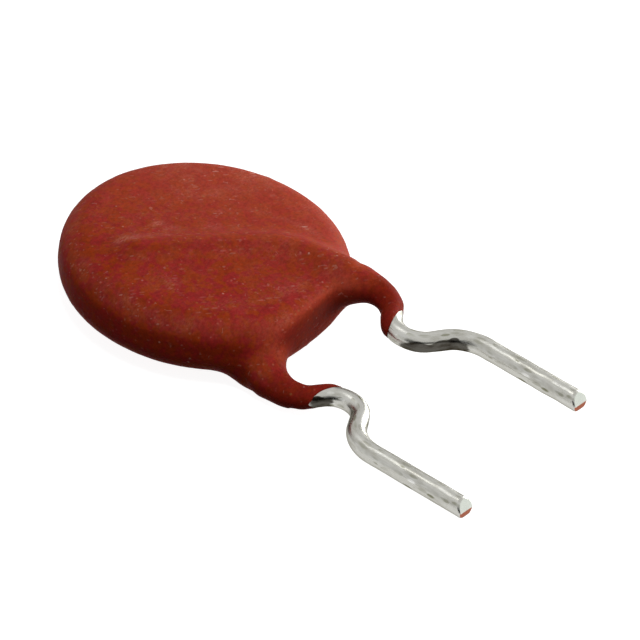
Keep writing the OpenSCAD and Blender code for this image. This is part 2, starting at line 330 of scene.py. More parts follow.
def buildFlag(s):
    turns = 16
    angles = [math.radians(s["flagFrom"] + (s["flagTo"] - s["flagFrom"]) * i / turns)
              for i in range(turns + 1)]
    ring = [(s["flagDistance"] * math.cos(a), s["flagDistance"] * math.sin(a)) for a in angles]
    flag = newMeshObject("flag", [(x, y, z) for z in (0, s["flagHeight"]) for x, y in ring],
                         [(i, i + 1, i + turns + 2, i + turns + 1) for i in range(turns)])
    flag.location.z = cadLow.z
    flag.visible_camera = False
    material, _, shader = newMaterial("blackCard")
    shader.inputs["Base Color"].default_value = [s["flagTone"]] * 3 + [1]
    shader.inputs["Specular IOR Level"].default_value = 0
    flag.data.materials.append(material)


def buildFloor(s):
    half = s["floorSize"] / 2
    floor = newMeshObject("floor", [(-half, -half, 0), (half, -half, 0), (half, half, 0),
                                    (-half, half, 0)], [(0, 1, 2, 3)])
    floor.location.z = cadLow.z
    material = bpy.data.materials.new("paleFloor")
    material.use_nodes = True
    nodes = shaderSheet(material.node_tree)
    output = nodes.add("ShaderNodeOutputMaterial")
    seen = seenDirectly(nodes)
    tone = nodes.mix(seen, [s["floorBounce"]] * 3 + [1], [s["floorTone"]] * 3 + [1])
    paper = nodes.add("ShaderNodeBsdfDiffuse", {"Color": tone})
    glow = nodes.add("ShaderNodeEmission", {
        "Color": (1, 1, 1, 1), "Strength": nodes.times(seen, s["floorGlow"])})
    both = nodes.add("ShaderNodeAddShader", {0: paper.outputs[0], 1: glow.outputs[0]})
    # seen from below, the floor doesn't hide the part
    below = nodes.add("ShaderNodeNewGeometry").outputs["Backfacing"]
    clear = nodes.add("ShaderNodeBsdfTransparent")
    sheet = nodes.add("ShaderNodeMixShader", {0: below, 1: both.outputs[0], 2: clear.outputs[0]})
    nodes.tree.links.new(sheet.outputs[0], output.inputs["Surface"])
    floor.data.materials.append(material)


def buildStudio(s):
    areaLight("key", s)
    areaLight("fill", s, onMetal=False)
    areaLight("top", s, onMetal=False)
    areaLight("streak", s, onMatt=False)
    areaLight("under", s, onMetal=False, throughFloor=True)
    world = bpy.data.worlds.new("studio")
    scene.world = world
    world.use_nodes = True
    nodes = shaderSheet(world.node_tree)
    output = nodes.add("ShaderNodeOutputWorld")
    strength = nodes.remap(seenDirectly(nodes), 0, 1, s["sky"], 1.0)
    sky = nodes.add("ShaderNodeBackground", {"Color": (1, 1, 1, 1), "Strength": strength})
    nodes.tree.links.new(sky.outputs[0], output.inputs["Surface"])
    buildFlag(s)
    buildFloor(s)


buildStudio(studio)
print("studio lit")


def buildMottleGroup():
    # cloudy patches and fine grain, both around 0.5
    nodes, start, end = newGroup(
        "mottle", [("Place", None), ("Patch Scale", 2300.0), ("Grain Scale", 9000.0)],
        ["Patch", "Other Patch", "Grain"])
    place = start["Place"]
    nodes.feed(end["Patch"], nodes.noise(place, start["Patch Scale"], 3, 0.55))
    other = nodes.moved(place, 0.031, 0.017, 0.023)
    nodes.feed(end["Other Patch"], nodes.noise(other, start["Patch Scale"], 4, 0.6))
    nodes.feed(end["Grain"], nodes.noise(place, start["Grain Scale"], 3, 0.65))
    return nodes.tree


def buildSpeckGroup():
    # round specks, of which only a share shows, in loose clusters
    nodes, start, end = newGroup(
        "specks", [("Place", None), ("Speck Scale", 5200.0), ("Share", 0.3), ("Size", 0.3),
                   ("Cluster Scale", 700.0)], ["Specks"])
    place = start["Place"]
    cells = nodes.add("ShaderNodeTexVoronoi", {"Vector": place, "Scale": start["Speck Scale"]})
    near = nodes.math("SUBTRACT", start["Size"], cells.outputs["Distance"])
    spot = nodes.remap(near, 0.0, 0.18)
    parts = nodes.add("ShaderNodeSeparateColor", {"Color": cells.outputs["Color"]}).outputs
    shown = nodes.math("LESS_THAN", parts[0], start["Share"])
    strength = nodes.remap(parts[1], 0.0, 1.0, 0.35, 1.0)
    cluster = nodes.remap(nodes.noise(place, start["Cluster Scale"], 2), 0.40, 0.60, 0.15, 1.0)
    nodes.feed(end["Specks"], nodes.times(nodes.times(spot, shown), nodes.times(strength, cluster)))
    return nodes.tree


def placeSpecks(nodes, place, scale, share, size, cluster):
    return placeGroup(nodes, speckGroup, {"Place": place, "Speck Scale": scale, "Share": share,
                                          "Size": size, "Cluster Scale": cluster})["Specks"]


def buildHairGroup():
    # short curved hairlines, few and far between
    nodes, start, end = newGroup(
        "hairlines", [("Place", None), ("Line Scale", 900.0), ("Width", 0.012), ("Share Scale", 1500.0),
                      ("Share", 0.62)], ["Lines"])
    place = start["Place"]
    field = nodes.noise(place, start["Line Scale"], 1.5, 0.5)
    off = nodes.math("ABSOLUTE", nodes.math("SUBTRACT", field, 0.5))
    line = nodes.math("SUBTRACT", 1.0, nodes.math("DIVIDE", off, start["Width"]))
    line = nodes.math("MAXIMUM", line, 0.0)
    where = nodes.noise(nodes.moved(place, 0.011, 0.029, 0.007), start["Share Scale"], 1)
    shown = nodes.math("GREATER_THAN", where, start["Share"])
    nodes.feed(end["Lines"], nodes.times(line, shown))
    return nodes.tree


mottleGroup = buildMottleGroup()
speckGroup = buildSpeckGroup()
hairGroup = buildHairGroup()


wireShape = {
    "radius": 0.30 * mm,
    "step": 0.035 * mm,        # between the rings of the mesh
    "around": 56,
    "faceLevel": 0.89 * mm,    # of the wires on the faces, from the disc's middle plane
    "faceRun": 4.45 * mm,      # their soldered length, up to the corner on the face
    "faceAngle": math.radians(38),
    # from the disc's axis: corner on the face, step over the rim, neck, kink, elbow and tip
    "upperPlan": np.array([(1.45, -1.75), (1.8, -3.65), (2.32, -4.96), (0.56, -6.39), (2.5, -7.56),
                           (2.5, -11.66)]) * mm,
    "lowerPlan": np.array([(-1.45, -1.75), (-2.0, -3.65), (-2.1, -5.25), (-0.32, -6.39), (-2.5, -7.56),
                           (-2.5, -11.66)]) * mm,
    "upperLevel": 0.43 * mm,   # of each wire beyond the step
    "lowerLevel": -0.71 * mm,
    "bendRadii": np.array([0, 1.5, 1.2, 0.75, 0.8, 1.22, 0]) * mm,
    "upperDipPoint": np.array([1.311, -5.78, 0]) * mm,
    "lowerDipPoint": np.array([-1.272, -5.78, 0]) * mm,
    "dipSlant": math.radians(15),
}


def wireRoute(plan, face, level, s):
    # the corners of the wire's middle line; face is 1 for the upper wire and -1 for the lower one
    angle = s["faceAngle"]
    start = plan[0] + s["faceRun"] * np.array([-face * math.cos(angle), math.sin(angle)])
    levels = [face * s["faceLevel"]] * 3 + [level] * 4
    return np.column_stack([np.vstack([start, plan]), levels])


def bentPath(points, radii, step):
    # straight lengths joined by round bends, as places about one step apart
    places, start, last = [], points[0], len(points) - 1
    for i in range(1, last + 1):
        into = unit(points[i] - points[i - 1])
        setback = 0.0
        if i < last:
            out = unit(points[i + 1] - points[i])
            turn = math.acos(np.clip(into @ out, -1, 1))
            setback = radii[i] * math.tan(turn / 2)
        end = points[i] - setback * into
        count = max(1, round(np.linalg.norm(end - start) / step))
        places += [start + (end - start) * k / count for k in range(count)]
        if i < last:
            side = unit(out - (out @ into) * into)
            centre = end + radii[i] * side
            count = max(2, round(radii[i] * turn / step))
            places += [centre + radii[i] * (math.sin(turn * k / count) * into
                                            - math.cos(turn * k / count) * side) for k in range(count)]
            start = points[i] + setback * out
    return np.array(places + [points[last]])


def ringAxes(places):
    along = np.gradient(places, axis=0)
    along /= np.linalg.norm(along, axis=1)[:, None]
    side = np.cross(along, [0, 0, 1])
    side /= np.linalg.norm(side, axis=1)[:, None]
    return along, side, np.cross(side, along)


class wirePath:
    # a wire's middle line with its length so far and the axes of each cross-section
    def __init__(self, route, shape):
        self.kink, self.elbow = route[4:6]
        self.places = bentPath(route, shape["bendRadii"], shape["step"])
        self.along, self.side, self.up = ringAxes(self.places)
        steps = np.linalg.norm(np.diff(self.places, axis=0), axis=1)
        self.length = np.concatenate([[0], np.cumsum(steps)])

    def lengthAt(self, point):
        return self.length[np.argmin(np.linalg.norm(self.places[:, :2] - point[:2], axis=1))]

    def outTo(self, points):
        # for each point, the way out to it from the wire's line
        index = np.empty(len(points), dtype=int)
        for start in range(0, len(points), 4000):
            part = points[start:start + 4000]
            gaps = ((part[:, None, :] - self.places[None]) ** 2).sum(2)
            index[start:start + 4000] = gaps.argmin(1)
        away = points - self.places[index]
        return away - (away * self.along[index]).sum(1)[:, None] * self.along[index]


upperWire, lowerWire = (
    wirePath(wireRoute(wireShape[name + "Plan"], face, wireShape[name + "Level"], wireShape), wireShape)
    for name, face in (("upper", 1), ("lower", -1)))


def dipPlane(point, slant):
    # a point of the plane, and the way that leads beyond it
    return point, np.array([math.sin(slant), -math.cos(slant), 0])


# each wire with its dip line, where the coating ends
dippedWires = [(upperWire, dipPlane(wireShape["upperDipPoint"], wireShape["dipSlant"])),
               (lowerWire, dipPlane(wireShape["lowerDipPoint"], -wireShape["dipSlant"]))]


def tubeFaces(rings, around):
    return [(i * around + j, i * around + (j + 1) % around,
             (i + 1) * around + (j + 1) % around, (i + 1) * around + j)
            for i in range(rings - 1) for j in range(around)]


coatingShape = {
    "voxel": 0.048 * mm,
    "smoothTurns": 10,
    "sharpTurn": 40.0,         # degrees: where the skin ends against a bare lead
    "faceTurns": 130,          # further smoothing of the two faces
    "faceEdge": (3.5 * mm, 4.1 * mm),      # where that fades out, from the disc's axis
    "faceHeight": (0.6 * mm, 0.8 * mm),    # and where it starts, from the disc's middle plane
    "sleeveReach": 0.45 * mm,  # of the tube to each side of the dip line
    "sleeveAround": 40,
    "neckCoat": 0.050 * mm,    # over the wire just before the dip line
    "lipCoat": 0.016 * mm,     # at the dip line itself
    "lipLength": 0.16 * mm,
    "lipFade": (0.22 * mm, 0.6 * mm),      # back from the dip line, where the lip meets the neck
    "lipReach": 0.7 * mm,      # how far back the skin is looked at for it
    "lipArea": 1.2 * mm,       # and how far to each side
    "smoothLip": (0.05 * mm, 0.3 * mm),    # back from the dip line, where the relief sets in
    "waves": 0.010 * mm,       # slow waviness of the dipped surface
    "waveSizes": (1.5 * mm, 0.6 * mm),
    "grains": 0.0030 * mm,     # grain that the mesh can hold
    "grainSizes": (0.20 * mm, 0.11 * mm),
    "lumps": 46,               # small raised or sunken places
    "lumpHeight": 0.018 * mm,
    "lumpWidths": (0.07, 0.16),            # mm
    "raisedTurns": 90,         # smoothing of the copy that shows what stands out
    "seed": 7,
}

coatingLook = {
    "patches": 3300.0,         # of orange and crimson, to the metre
    "grains": 9500.0,
    "orange": linearColour(126, 42, 10),
    "crimson": linearColour(126, 28, 27),
    "deep": linearColour(106, 23, 12),
    # painted light: a paler red
    "paintedLight": linearColour(147, 54, 36),
    "paintedLightShare": 0.75,
    "neck": linearColour(102, 22, 11),
    "neckShare": 0.8,
    # painted shade: a darker red
    "paintedShade": linearColour(98, 20, 10),
    "paintedShadeShare": 0.55,
    "grainSpan": 0.20,         # how far the fine grain goes lighter and darker
    # pale dust, also laid on as painted light
    "paleDustAndLight": linearColour(180, 116, 96),
    "dustEverywhere": 0.018,   # share of dust on the flat face, with painted light towards +X
    "dustAndPaintedLightShare": 0.115,         # and of dust and painted light on the paler side, the ridges and the smudges
    "chalk": linearColour(214, 172, 158),
    "olive": linearColour(140, 112, 70),
    "fineSpecks": 0.22,        # strength of each kind of speck
    "paleSpecks": 0.26,
    "oliveSpecks": 0.26,
    "hairlines": 0.13,
    # cells to the metre, share of them with a speck, its size in the cell, clusters to the metre
    "fineKind": (9000.0, 0.13, 0.38, 1100.0),
    "paleKind": (6500.0, 0.06, 0.30, 800.0),
    "oliveKind": (6200.0, 0.08, 0.32, 1000.0),
    "dashKind": (11500.0, 0.22, 0.44, 1900.0),
    "roughness": 0.62,
    "specular": 0.03,
    "grainRelief": 0.012 * mm,
}

coatingDustAndLight = {
    "ridges": 0.35,            # dust and painted light on all that stands out
    "paleSide": 0.8,           # painted light: paler on the side towards +X
    "shoulder": 0.30,          # dust and painted light where the face turns down into the rim
    "crease": 0.55,
    "creaseWidth": 0.13,       # mm
    "ridgeShadeLessPale": 0.7,         # painted shade: how much less pale the ridge's near flank is than its crest
    "ridgePaintedShade": 0.75,         # and how much of the rim's painted shade it takes
    # painted light: a paler red on the side, on the shoulder and between the leads
    "paintedLightSide": 0.9,          # paler red, on the side towards +X
    "paintedLightShoulder": 0.22,
    "paintedLightWeb": 0.8,           # between the leads
}

# dust smudges on the upper face: middle x and y, length, width (mm), direction (degrees), strength; the
# strongest, at the ridge's left end, is dust and a painted highlight, and the one of negative strength
# beside it, which takes the pale away, is a painted shadow
smudges = [
    # the first here is dust and a painted highlight at the ridge's left end
    (-1.92, 1.38, 0.34, 0.15, -35, 3.4), (-1.50, 1.25, 0.55, 0.20, -38, 1.3),
    (-0.65, 1.39, 0.20, 0.09, -20, 2.6), (-0.95, 1.10, 0.80, 0.25, -35, 0.7),
    (-2.30, 0.55, 0.16, 0.07, -60, 0.8), (0.20, 0.35, 0.90, 0.28, -38, 0.3),
    (-2.60, -0.60, 0.60, 0.40, -70, 0.35), (-1.70, -2.60, 0.90, 0.30, -40, 0.45),
    (-0.60, -3.05, 0.80, 0.22, -15, 0.45), (0.30, -3.15, 0.50, 0.18, 5, 0.35),
    (1.20, 1.60, 0.80, 0.35, -25, 0.45), (2.20, -2.45, 0.30, 0.16, -80, 0.2),
    # the first here, of negative strength, is a painted shadow by the ridge's left end
    (-2.35, 1.20, 0.10, 0.08, 0, -1.5), (1.10, -0.80, 0.60, 0.20, -45, 0.3),
    (0.90, -2.00, 0.5, 0.22, 20, 0.25),
]
# a faint pale crease beside the upper ridge, dust and a painted sheen, as places on the face (mm)
creaseLine = [(1.10, 0.62), (1.854, 0.10), (2.25, -0.62), (2.444, -1.38), (2.468, -2.098)]


def outerSkin(node, sharpTurn):
    # the skin's faces, found by spreading from the topmost one and stopping at sharp edges
    work = bmesh.new()
    work.from_mesh(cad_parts[node].data)
    bmesh.ops.remove_doubles(work, verts=work.verts, dist=1e-8)
    work.faces.ensure_lookup_table()
    first = max(work.faces, key=lambda f: f.calc_center_median().z)
    found, waiting = {first}, [first]
    while waiting:
        face = waiting.pop()
        for edge in face.edges:
            for other in edge.link_faces:
                if other not in found and face.normal.angle(other.normal, 0) < math.radians(sharpTurn):
                    found.add(other)
                    waiting.append(other)
    bmesh.ops.delete(work, geom=[f for f in work.faces if f not in found], context="FACES")
    bmesh.ops.holes_fill(work, edges=[e for e in work.edges if e.is_boundary], sides=0)
    return work


def addSleeve(work, wire, dip, shape):
    # a short tube on through the dip line, so that the skin is cut there and not rounded off
    middle = wire.lengthAt(dip[0])
    chosen = np.nonzero(np.abs(wire.length - middle) < shape["sleeveReach"])[0][::2]
    around, radius = shape["sleeveAround"], wireShape["radius"] + shape["neckCoat"]
    turns = np.arange(around) * 2 * math.pi / around
    made = []
    for i in chosen:
        for t in turns:
            spoke = math.cos(t) * wire.side[i] + math.sin(t) * wire.up[i]
            made.append(work.verts.new(discMiddle + wire.places[i] + radius * spoke))
    for quad in tubeFaces(len(chosen), around):
        work.faces.new([made[k] for k in quad])
    work.faces.new(made[:around][::-1])
    work.faces.new(made[-around:])


def voxelSkin(work, shape):
    obj = newMeshObject("coatingSkin", [], [])
    work.to_mesh(obj.data)
    work.free()
    remesh = obj.modifiers.new("remesh", "REMESH")
    remesh.mode = "VOXEL"
    remesh.voxel_size = shape["voxel"]
    addSmoothing(obj, shape["smoothTurns"])
    obj.data = modifiedMesh(obj)
    return obj


def easeFace(obj, shape):
    # the dipped resin flows out broad and soft on the faces, away from the rim and the necks
    places = vertexPlaces(obj.data) - discMiddle
    weight = 1 - smoothStep(np.linalg.norm(places[:, :2], axis=1), *shape["faceEdge"])
    weight *= smoothStep(np.abs(places[:, 2]), *shape["faceHeight"])
    group = obj.vertex_groups.new(name="face")
    for level in range(1, 11):
        chosen = np.nonzero(np.round(weight * 10) == level)[0].tolist()
        group.add(chosen, level / 10, "REPLACE")
    addSmoothing(obj, shape["faceTurns"]).vertex_group = "face"
    made = modifiedMesh(obj)
    obj.vertex_groups.clear()
    obj.data = made


def cutAtDip(mesh, dip):
    work = bmesh.new()
    work.from_mesh(mesh)
    bmesh.ops.bisect_plane(work, geom=work.verts[:] + work.edges[:] + work.faces[:], dist=1e-7,
                           plane_co=Vector(discMiddle + dip[0]), plane_no=Vector(dip[1]),
                           clear_outer=True)
    bmesh.ops.holes_fill(work, edges=[e for e in work.edges if e.is_boundary], sides=0)
    bmesh.ops.recalc_face_normals(work, faces=work.faces)
    work.to_mesh(mesh)
    work.free()


def thinToLip(places, wire, dip, shape):
    # the coating feathers out over the last stretch before the dip line
    radius = wireShape["radius"]
    before = -((places - dip[0]) @ dip[1])
    chosen = np.nonzero((before < shape["lipReach"]) & (before > -0.02 * mm)
                        & (np.linalg.norm(places[:, :2] - dip[0][:2], axis=1) < shape["lipArea"])
                        & (np.sign(places[:, 0]) == np.sign(dip[0][0])))[0]
    away = wire.outTo(places[chosen])
    gap = np.linalg.norm(away, axis=1)
    near = (gap < radius + 0.3 * mm) & (gap > radius * 0.7)
    chosen, away, gap = chosen[near], away[near], gap[near]
    left = before[chosen]
    thinner = (shape["neckCoat"] - shape["lipCoat"]) * (1 - smoothStep(left, 0, shape["lipLength"]))
    coat = shape["neckCoat"] - thinner
    share = 1 - smoothStep(left, *shape["lipFade"])
    places[chosen] += away / gap[:, None] * ((radius + coat - gap) * share)[:, None]


def relief(places, shape):
    # waviness, grain and a few lumps, all in metres along the normal
    slow, quick = shape["waveSizes"]
    made = shape["waves"] * (noiseAt(places, slow) + 0.5 * noiseAt(places, quick, 31))
    coarse, fine = shape["grainSizes"]
    made += shape["grains"] * (noiseAt(places, coarse, 57) + 0.7 * noiseAt(places, fine, 83))
    rng = np.random.default_rng(shape["seed"])
    for k in rng.integers(0, len(places), shape["lumps"]):
        width = rng.uniform(*shape["lumpWidths"]) * mm
        height = shape["lumpHeight"] * rng.uniform(0.4, 1.0) * (1 if rng.random() < 0.7 else -1)
        made += height * np.exp(-((places - places[k]) ** 2).sum(1) / width ** 2)
    # none where the skin ends
    for _, dip in dippedWires:
        close = np.linalg.norm(places[:, :2] - dip[0][:2], axis=1) < 1.0 * mm
        made[close] *= smoothStep(-((places - dip[0]) @ dip[1]), *shape["smoothLip"])[close]
    return made


def standingOut(obj, turns):
    # how far each place stands out from a much smoother copy of the skin
    addSmoothing(obj, turns)
    copy = modifiedMesh(obj)
    gap = ((vertexPlaces(obj.data) - vertexPlaces(copy)) * vertexNormals(obj.data)).sum(1)
    bpy.data.meshes.remove(copy)
    return gap


def smudgeMask(x, y, dustLight):
    made = np.zeros(len(x))
    for middleX, middleY, length, width, degrees, strength in smudges:
        turn = math.radians(degrees)
        along = (x - middleX) * math.cos(turn) + (y - middleY) * math.sin(turn)
        across = (y - middleY) * math.cos(turn) - (x - middleX) * math.sin(turn)
        made += strength * np.exp(-(along / length) ** 2 - (across / width) ** 2)
    for start, end in zip(np.array(creaseLine[:-1]), np.array(creaseLine[1:])):
        run = end - start
        share = np.clip(((x - start[0]) * run[0] + (y - start[1]) * run[1]) / (run @ run), 0, 1)
        gap = np.hypot(x - start[0] - share * run[0], y - start[1] - share * run[1])
        made = np.maximum(made, dustLight["crease"] * np.exp(-(gap / dustLight["creaseWidth"]) ** 2))
    return made


def dustAndLightMasks(places, normals, raised, dustLight):
    x, y, level = places[:, 0] / mm, places[:, 1] / mm, normals[:, 2]
    raised = raised / mm
    upward = smoothStep(level, 0.0, 0.9)
    neck = smoothStep(-y, 3.9, 4.9)
    shoulder = smoothStep(level, 0.30, 0.62) * (1 - smoothStep(level, 0.86, 0.985))
    # dust, with painted light towards +X and on what stands out
    lean = (0.85 * x + 0.50 * y) / 4.2
    dustAndPaintedLight = dustLight["ridges"] * smoothStep(raised, 0.0, 0.10) * upward
    dustAndPaintedLight += dustLight["paleSide"] * smoothStep(lean, 0.30, 1.12) ** 1.5 * smoothStep(level, -0.1, 0.5)
    # the flank of the ridge that falls away towards the lower wire's neck, which gets painted shade
    falling = normals @ unit(np.array([-0.45, -0.89, 0]))
    ridgeFlank = smoothStep(raised, -0.005, 0.030) * smoothStep(falling, 0.04, 0.16) * upward
    ridgeFlank *= 1 - smoothStep(-y, 1.8, 2.8)
    # painted shade: less pale on the ridge's near flank
    dustAndPaintedLight *= 1 - dustLight["ridgeShadeLessPale"] * ridgeFlank
    dustAndPaintedLight += dustLight["shoulder"] * shoulder * (1 - smoothStep(lean, -0.3, 0.5))
    dustAndPaintedLight += smudgeMask(x, y, dustLight) * smoothStep(level, 0.3, 0.7)
    # painted light: a paler red towards +X, on the shoulder away from +X and between the leads
    paintedLightLean = (0.93 * x + 0.37 * y) / 4.2
    paintedLight = dustLight["paintedLightSide"] * smoothStep(paintedLightLean, -0.65, 1.0) * smoothStep(level, -0.3, 0.5)
    paintedLight += dustLight["paintedLightShoulder"] * shoulder * (1 - smoothStep(paintedLightLean, -0.4, 0.4))
    between = smoothStep(-y, 2.8, 3.6) * (1 - smoothStep(np.abs(x), 1.4, 2.4))
    paintedLight += dustLight["paintedLightWeb"] * between * (1 - smoothStep(level, 0.55, 0.90))
    # painted shade: a darker red on the rim on the other side, away from the lamps
    facing = normals @ np.array([-0.80, -0.60, 0])
    paintedShade = (1 - smoothStep(np.abs(level), 0.10, 0.50)) * smoothStep(facing, 0.1, 0.6)
    return {
        # both pale masks hold painted light: more towards +X, and on what stands out
        "dustAndPaintedLight": dustAndPaintedLight * (1 - 0.9 * neck),
        "settledDustAndLight": upward * (1 + 0.9 * smoothStep(lean, -0.9, 0.7)) * (1 - 0.85 * neck),
        "neck": neck,
        "paintedLight": paintedLight * (1 - neck),
        "paintedShade": np.maximum(paintedShade, dustLight["ridgePaintedShade"] * ridgeFlank * (1 - neck)),
    }


def coatingMaterial(c):
    material, nodes, shader = newMaterial("brickRedResin")
    place = nodes.add("ShaderNodeTexCoord").outputs["Object"]
    mottle = placeGroup(nodes, mottleGroup, {"Place": place, "Patch Scale": c["patches"],
                                             "Grain Scale": c["grains"]})
    base = nodes.mix(nodes.remap(mottle["Patch"], 0.41, 0.59), c["crimson"], c["orange"])
    base = nodes.mix(nodes.remap(mottle["Other Patch"], 0.50, 0.75, 0.0, 0.5), base, c["deep"])
    # painted light, the necks' darker red, and painted shade
    for name in ("paintedLight", "neck", "paintedShade"):
        base = nodes.mix(nodes.times(nodes.mask(name), c[name + "Share"]), base, c[name])
    # fine grain, in strength only
    grain = nodes.remap(mottle["Grain"], 0.25, 0.75, 1 - c["grainSpan"], 1 + c["grainSpan"])
    base = nodes.mix(1.0, base, nodes.grey(grain), "MULTIPLY")
    # pale dust and painted light in soft clouds: a little on all that faces up, more towards +X, on what
    # stands out, on the shoulder and on the smudges
    cloud = nodes.noise(nodes.moved(place, 0.005, 0.041, 0.013), 2300.0, 4, 0.60)
    broad = nodes.noise(nodes.moved(place, 0.025, 0.011, 0.033), 800.0, 2, 0.5)
    powder = nodes.noise(nodes.moved(place, 0, 0, 0, (1.0, 1.8, 1.0)), 11000.0, 3, 0.75)
    dustAndLightAmount = nodes.plus(nodes.times(nodes.mask("settledDustAndLight"), c["dustEverywhere"]),
                       nodes.times(nodes.mask("dustAndPaintedLight"), c["dustAndPaintedLightShare"]))
    for clouds, span in ((cloud, 0.60), (broad, 0.45), (powder, 0.85)):
        dustAndLightAmount = nodes.times(dustAndLightAmount, nodes.remap(clouds, 0.30, 0.70, 1 - span, 1 + span))
    base = nodes.mix(dustAndLightAmount, base, c["paleDustAndLight"])
    # specks and hairlines, and rubbed dashes that run along the ridge, mostly where the dust and painted
    # light are strong
    fine = placeSpecks(nodes, place, *c["fineKind"])
    large = placeSpecks(nodes, nodes.moved(place, 0.019, 0.003, 0.009), *c["paleKind"])
    olive = placeSpecks(nodes, nodes.moved(place, 0.002, 0.027, 0.015), *c["oliveKind"])
    lines = placeGroup(nodes, hairGroup, {"Place": place, "Line Scale": 2600.0, "Width": 0.030,
                                          "Share Scale": 4200.0, "Share": 0.67})["Lines"]
    along = nodes.moved(nodes.moved(place, 0, 0, 0, turn=36), 0.007, 0.013, 0.003, (0.32, 1.0, 1.0))
    dashes = placeSpecks(nodes, along, *c["dashKind"])
    rubbed = nodes.times(dashes, nodes.remap(nodes.mask("dustAndPaintedLight"), 0.0, 0.7, 0.06, 0.34))
    base = nodes.mix(rubbed, base, c["chalk"])
    base = nodes.mix(nodes.times(fine, c["fineSpecks"]), base, c["paleDustAndLight"])
    base = nodes.mix(nodes.times(olive, c["oliveSpecks"]), base, c["olive"])
    pale = nodes.math("MAXIMUM", nodes.times(large, c["paleSpecks"]), nodes.times(lines, c["hairlines"]))
    base = nodes.mix(pale, base, c["chalk"])
    nodes.feed(shader.inputs["Base Color"], base)
    rough = nodes.remap(mottle["Grain"], 0.2, 0.8, c["roughness"] - 0.08, c["roughness"] + 0.10)
    nodes.feed(shader.inputs["Roughness"], rough)
    shader.inputs["Specular IOR Level"].default_value = c["specular"]
    pores = nodes.noise(place, 4200.0, 3, 0.6)
    height = nodes.plus(nodes.times(mottle["Grain"], 0.7), nodes.times(pores, 0.8))
    bumpFrom(nodes, shader, nodes.plus(height, nodes.times(large, 0.5)), 0.8, c["grainRelief"])
    return material


def buildCoating(shape, look, dustLight):
    work = outerSkin("coating", shape["sharpTurn"])
    for wire, dip in dippedWires:
        addSleeve(work, wire, dip, shape)
    obj = voxelSkin(work, shape)
    easeFace(obj, shape)
    mesh = obj.data
    for _, dip in dippedWires:
        cutAtDip(mesh, dip)
    raised = standingOut(obj, shape["raisedTurns"])
    places = vertexPlaces(mesh) - discMiddle
    for wire, dip in dippedWires:
        thinToLip(places, wire, dip, shape)
    setPlaces(mesh, places + discMiddle)
    normals = vertexNormals(mesh)
    places += normals * relief(places, shape)[:, None]
    setPlaces(mesh, places + discMiddle)
    for name, values in dustAndLightMasks(places, normals, raised, dustLight).items():
        keepMask(mesh, name, values)
    shadeSmooth(mesh)
    mesh.materials.clear()
    mesh.materials.append(coatingMaterial(look))
    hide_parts("coating")
    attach(obj, "root")
    print("coating:", len(mesh.polygons), "faces; raised", raised.min() / mm, raised.max() / mm)


buildCoating(coatingShape, coatingLook, coatingDustAndLight)


leadShape = {
    "tipAngle": math.radians(60),
    "stripTop": -0.03 * mm,      # from the wire's middle, the copper strip at the tip
    "stripHeight": 0.17 * mm,
    "stripEdge": 0.012 * mm,
    "roundTip": 0.050 * mm,
    "tipLength": 0.75 * mm,      # the stretch whose rings lean over to the cut
    "endRings": 26,              # they shrink to the middle of the cut
    "ripple": 0.0035 * mm,       # unevenness of the tin along the wire
    "ripples": 26,
    "pressDepth": 0.030 * mm,    # flats that the forming tool leaves on the kinks
    "pressSoftness": 0.012 * mm,
    "pressReach": (0.75 * mm, 0.60 * mm, 0.50 * mm),     # in front, behind, and on the kink itself
}

leadLook = {
    "tin": linearColour(180, 179, 172),
    "shade": linearColour(152, 150, 140),
    "bright": linearColour(200, 200, 196),
    "olive": linearColour(104, 104, 76),       # shallow pits
    "pitShare": 0.85,
    # painted glints: bright specks in the tin's colour
    "paintedGlint": (0.9, 0.9, 0.88, 1),
    "paintedGlintShare": 0.55,
    "pitKind": (8500.0, 0.50, 0.50, 4200.0),   # as the specks of the coating
    "paintedGlintKind": (7500.0, 0.22, 0.42, 4200.0),
    # tarnish, and painted reflection of dark surroundings on the bends' lower side
    "stainAndPaintedReflection": linearColour(46, 41, 34),
    "cut": linearColour(212, 217, 208),        # the freshly cut bevel at the tip
    "edge": linearColour(178, 176, 170),       # what the tin mirrors at a grazing angle
    "roughness": 0.29,
    "relief": 0.005 * mm,
    "copper": linearColour(184, 118, 98),
    "darkCopper": linearColour(142, 84, 68),
    "copperRoughness": 0.42,
}


def tipDepth(z, s):
    # how far the cut end lies back from the very tip, at a height above the wire's middle
    top = (z - s["stripTop"]) / math.tan(s["tipAngle"])
    bottom = (s["stripTop"] - s["stripHeight"] - z) / math.tan(s["tipAngle"])
    return np.maximum(np.maximum(top, bottom), 0)


def pressFlat(radii, angles, wire, centre, halfLength, direction, depth, soft):
    # the surface is held under a plane that faces the given way, over a stretch of the wire
    strength = 1 - smoothStep(np.abs(wire.length - centre), 0.3 * halfLength, halfLength)
    facing = np.arctan2(wire.up @ direction, wire.side @ direction)
    cosine = np.cos(angles[None, :] - facing[:, None])
    limit = (wireShape["radius"] - depth * strength)[:, None] / np.maximum(cosine, 0.3)
    allowed = (strength[:, None] > 0) & (cosine > 0.3)
    both = np.minimum(radii, limit) - np.maximum(soft - np.abs(radii - limit), 0) ** 2 / (4 * soft)
    return np.where(allowed, both, radii)


